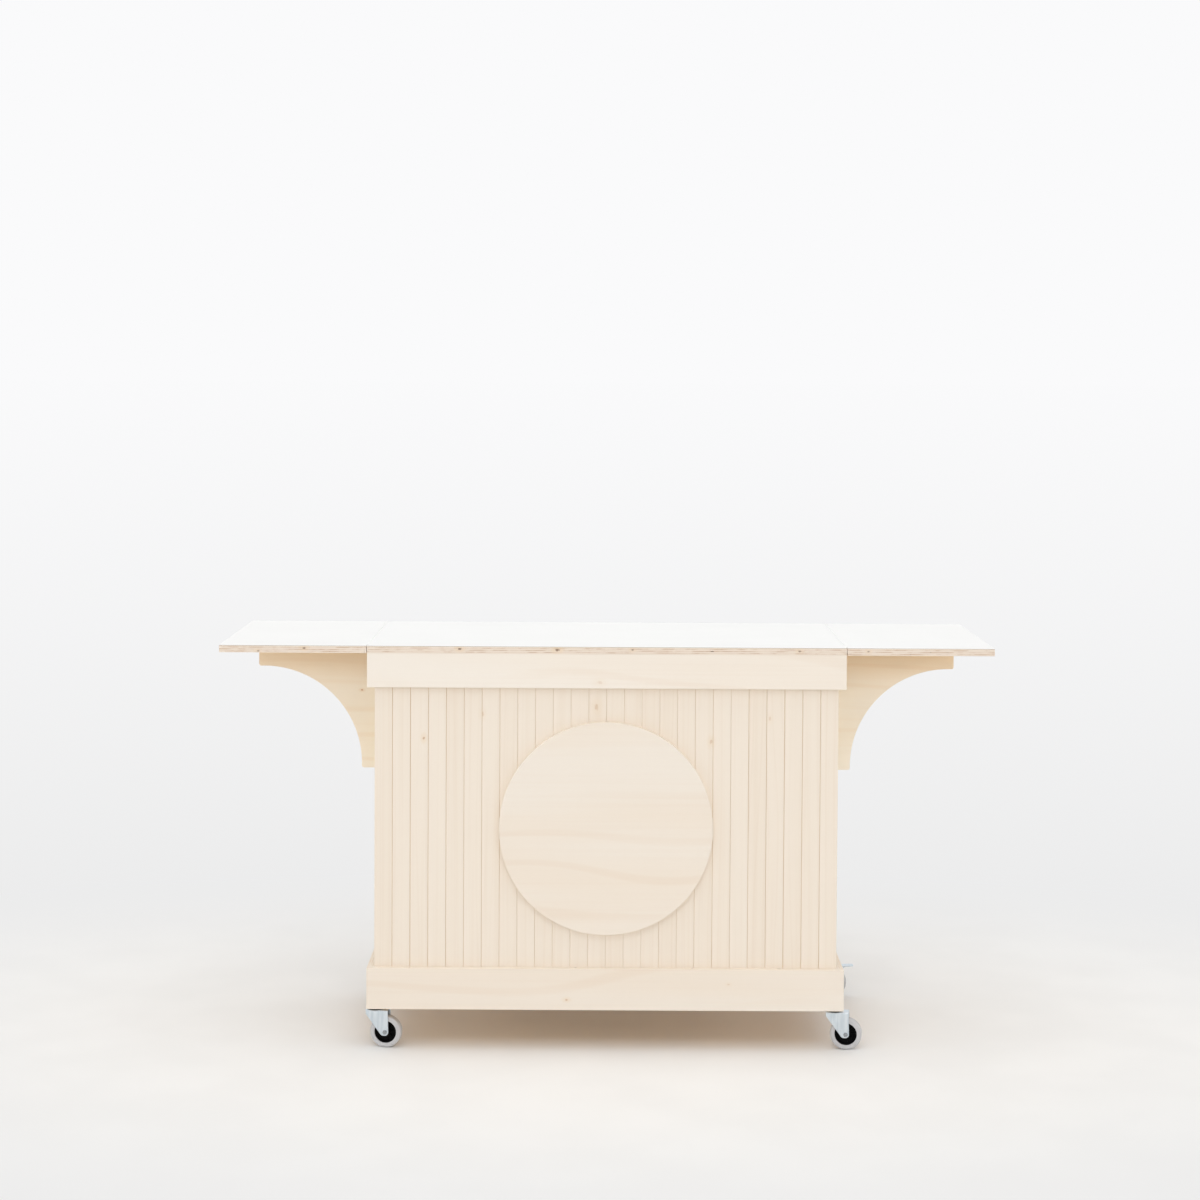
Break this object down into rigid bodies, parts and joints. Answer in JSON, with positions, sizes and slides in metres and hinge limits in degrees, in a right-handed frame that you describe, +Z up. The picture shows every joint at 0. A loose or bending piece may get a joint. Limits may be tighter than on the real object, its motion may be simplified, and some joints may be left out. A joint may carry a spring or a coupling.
{
  "type": "food display cart",
  "caption": "Mobile plywood serving cart with a white worktop, folding end leaves on curved swing-out brackets, an upright-boarded front with a round panel, an open back and braked castors.",
  "frame": {"origin": "on the floor, under the middle of the cart", "axes": "+X along the front towards the right leaf, the front faces -Y, +Z up"},
  "size_m": [1.94, 0.6, 1.0219],
  "materials": {
    "birch_ply": "clear matt lacquer, pale",
    "bracket_ply": "clear matt lacquer, pale",
    "front_boards": "clear matt lacquer over pale bevelled boards",
    "white_laminate": "satin white laminate",
    "hinge_metal": "white enamel on steel",
    "zinc_sheet": "bright zinc plate on pressed steel",
    "black_steel": "blackened steel",
    "bright_steel": "bright zinc plate",
    "tyre_rubber": "matt light-grey non-marking rubber",
    "core_plastic": "moulded black"
  },
  "bodies": {
    "cart": {"assembly_screws": "bright_steel", "bottom_deck": "birch_ply", "bracket_hinge_pins": "hinge_metal", "castor_inserts": "bright_steel", "castor_stems": "black_steel", "centre_laminate": "white_laminate", "centre_worktop": "birch_ply", "front_backing_panel": "birch_ply", "front_band": "birch_ply", "front_plinth": "birch_ply", "front_slats": "front_boards", "leaf_hinge_pins": "hinge_metal", "left_bracket_cleat": "bracket_ply", "left_bracket_hinge_fixed_flap": "hinge_metal", "left_leaf_hinge_fixed_flap": "hinge_metal", "left_plinth": "birch_ply", "left_side_band": "birch_ply", "left_side_panel": "birch_ply", "rear_band": "birch_ply", "rear_plinth": "birch_ply", "right_bracket_cleat": "bracket_ply", "right_bracket_hinge_fixed_flap": "hinge_metal", "right_leaf_hinge_fixed_flap": "hinge_metal", "right_plinth": "birch_ply", "right_side_band": "birch_ply", "right_side_panel": "birch_ply", "round_panel": "birch_ply", "shelf": "birch_ply", "shelf_pegs": "bright_steel", "top_battens": "birch_ply"},
    "left_leaf": {"left_leaf": "birch_ply", "left_leaf_laminate": "white_laminate", "left_leaf_hinge_moving_flap": "hinge_metal"},
    "left_bracket": {"left_bracket": "bracket_ply", "left_bracket_hinge_moving_flap": "hinge_metal"},
    "right_leaf": {"right_leaf": "birch_ply", "right_leaf_laminate": "white_laminate", "right_leaf_hinge_moving_flap": "hinge_metal"},
    "right_bracket": {"right_bracket": "bracket_ply", "right_bracket_hinge_moving_flap": "hinge_metal"},
    "front_left_castor": {"front_left_fork": "zinc_sheet", "front_left_axle": "bright_steel"},
    "front_left_wheel": {"front_left_wheel_core": "core_plastic", "front_left_tyre": "tyre_rubber"},
    "front_right_castor": {"front_right_fork": "zinc_sheet", "front_right_axle": "bright_steel"},
    "front_right_wheel": {"front_right_wheel_core": "core_plastic", "front_right_tyre": "tyre_rubber"},
    "rear_left_castor": {"rear_left_fork": "zinc_sheet", "rear_left_axle": "bright_steel"},
    "rear_left_wheel": {"rear_left_wheel_core": "core_plastic", "rear_left_tyre": "tyre_rubber"},
    "rear_left_brake": {"rear_left_brake_pedal": "zinc_sheet"},
    "rear_right_castor": {"rear_right_fork": "zinc_sheet", "rear_right_axle": "bright_steel"},
    "rear_right_wheel": {"rear_right_wheel_core": "core_plastic", "rear_right_tyre": "tyre_rubber"},
    "rear_right_brake": {"rear_right_brake_pedal": "zinc_sheet"}
  },
  "joints": [
    {"name": "left_leaf_fold", "type": "hinge", "parent": "cart", "child": "left_leaf", "pos_m": [-0.6008, 0, 1.02025], "axis": [0, 1, 0], "range_deg": [0, 180]},
    {"name": "left_bracket_swing", "type": "hinge", "parent": "cart", "child": "left_bracket", "pos_m": [-0.6008, -0.009, 0.8], "axis": [0, 0, -1], "range_deg": [0, 90]},
    {"name": "right_leaf_fold", "type": "hinge", "parent": "cart", "child": "right_leaf", "pos_m": [0.6008, 0, 1.02025], "axis": [0, -1, 0], "range_deg": [0, 180]},
    {"name": "right_bracket_swing", "type": "hinge", "parent": "cart", "child": "right_bracket", "pos_m": [0.6008, -0.009, 0.8], "axis": [0, 0, 1], "range_deg": [0, 90]},
    {"name": "front_left_swivel", "type": "hinge", "parent": "cart", "child": "front_left_castor", "pos_m": [-0.581, -0.26, 0.098], "axis": [0, 0, 1], "continuous": true},
    {"name": "front_left_roll", "type": "hinge", "parent": "front_left_castor", "child": "front_left_wheel", "pos_m": [-0.55236, -0.26454, 0.04], "axis": [0.1564, 0.9877, 0], "continuous": true},
    {"name": "front_right_swivel", "type": "hinge", "parent": "cart", "child": "front_right_castor", "pos_m": [0.581, -0.26, 0.098], "axis": [0, 0, 1], "continuous": true},
    {"name": "front_right_roll", "type": "hinge", "parent": "front_right_castor", "child": "front_right_wheel", "pos_m": [0.60964, -0.26454, 0.04], "axis": [0.1564, 0.9877, 0], "continuous": true},
    {"name": "rear_left_swivel", "type": "hinge", "parent": "cart", "child": "rear_left_castor", "pos_m": [-0.581, 0.26, 0.098], "axis": [0, 0, 1], "continuous": true},
    {"name": "rear_left_roll", "type": "hinge", "parent": "rear_left_castor", "child": "rear_left_wheel", "pos_m": [-0.539, 0.26, 0.04], "axis": [0, 1, 0], "continuous": true},
    {"name": "rear_left_brake_press", "type": "hinge", "parent": "rear_left_castor", "child": "rear_left_brake", "pos_m": [-0.537, 0.26, 0.084], "axis": [0, 1, 0], "range_deg": [0, 7]},
    {"name": "rear_right_swivel", "type": "hinge", "parent": "cart", "child": "rear_right_castor", "pos_m": [0.581, 0.26, 0.098], "axis": [0, 0, 1], "continuous": true},
    {"name": "rear_right_roll", "type": "hinge", "parent": "rear_right_castor", "child": "rear_right_wheel", "pos_m": [0.623, 0.26, 0.04], "axis": [0, 1, 0], "continuous": true},
    {"name": "rear_right_brake_press", "type": "hinge", "parent": "rear_right_castor", "child": "rear_right_brake", "pos_m": [0.625, 0.26, 0.084], "axis": [0, 1, 0], "range_deg": [0, 7]}
  ]
}
